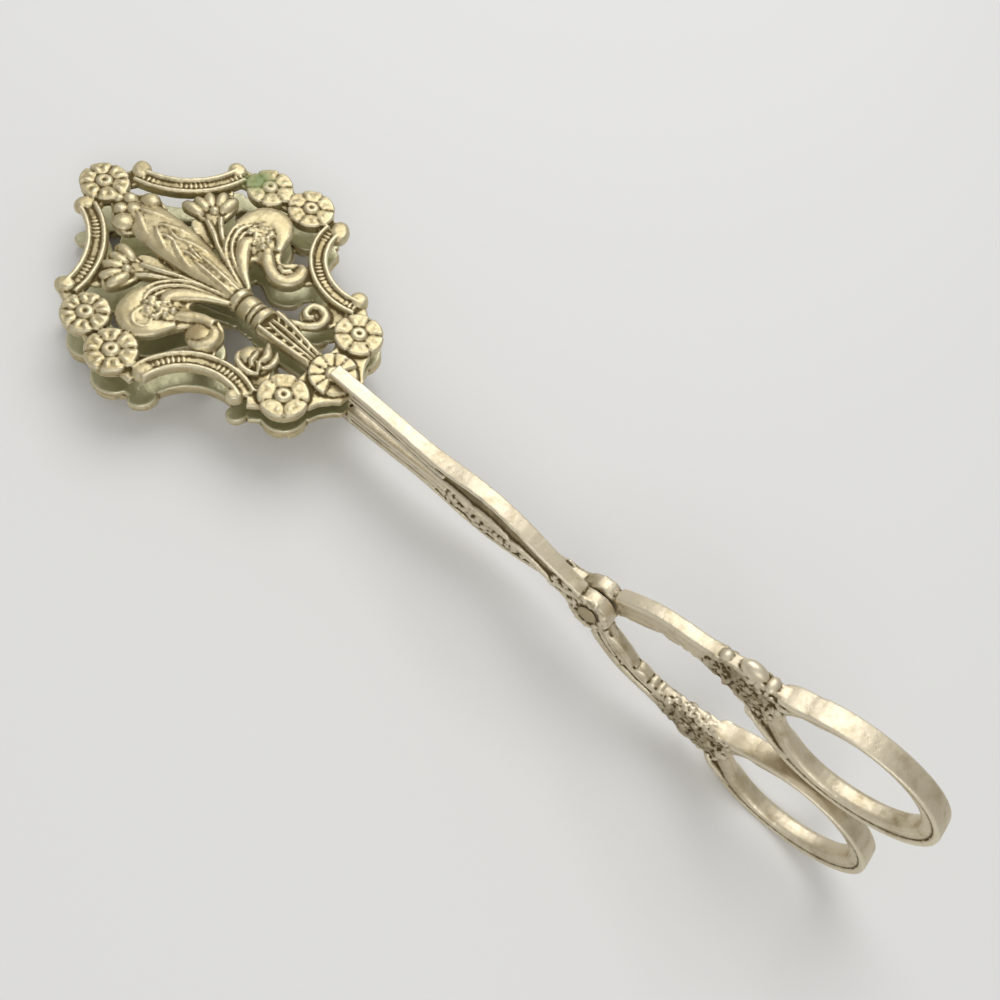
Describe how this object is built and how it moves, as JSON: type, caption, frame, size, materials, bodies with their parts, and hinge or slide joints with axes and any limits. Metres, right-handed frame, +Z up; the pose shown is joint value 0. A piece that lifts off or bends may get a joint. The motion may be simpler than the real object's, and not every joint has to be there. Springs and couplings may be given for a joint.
{
  "type": "serving tongs",
  "caption": "Scissor-action serving tongs: riveted cast arms with finger loops, and facing pierced jaw plates framed in flowers round a fleur-de-lis.",
  "frame": {"origin": "on the table, under the middle of the closed tongs' bounding box", "axes": "+X along the tongs from the finger loops to the jaw tips, +Y along the rivet, +Z up from the table"},
  "size_m": [0.2178, 0.0672, 0.0475],
  "materials": {
    "jaw_silver": "tarnished silver plate, satin",
    "arm_silver": "tarnished silver plate, worn smooth",
    "rivet_silver": "tarnished silver plate, satin"
  },
  "bodies": {
    "lower_half": {"lower_jaw_plate": "jaw_silver", "lower_jaw_arm": "arm_silver", "pivot_rivet": "rivet_silver"},
    "upper_half": {"upper_jaw_plate": "jaw_silver", "upper_jaw_arm": "arm_silver"}
  },
  "joints": [
    {"name": "rivet_hinge", "type": "hinge", "parent": "lower_half", "child": "upper_half", "pos_m": [-0.03628, 0, 0.01892], "axis": [0, -1, 0], "range_deg": [0, 40]}
  ]
}
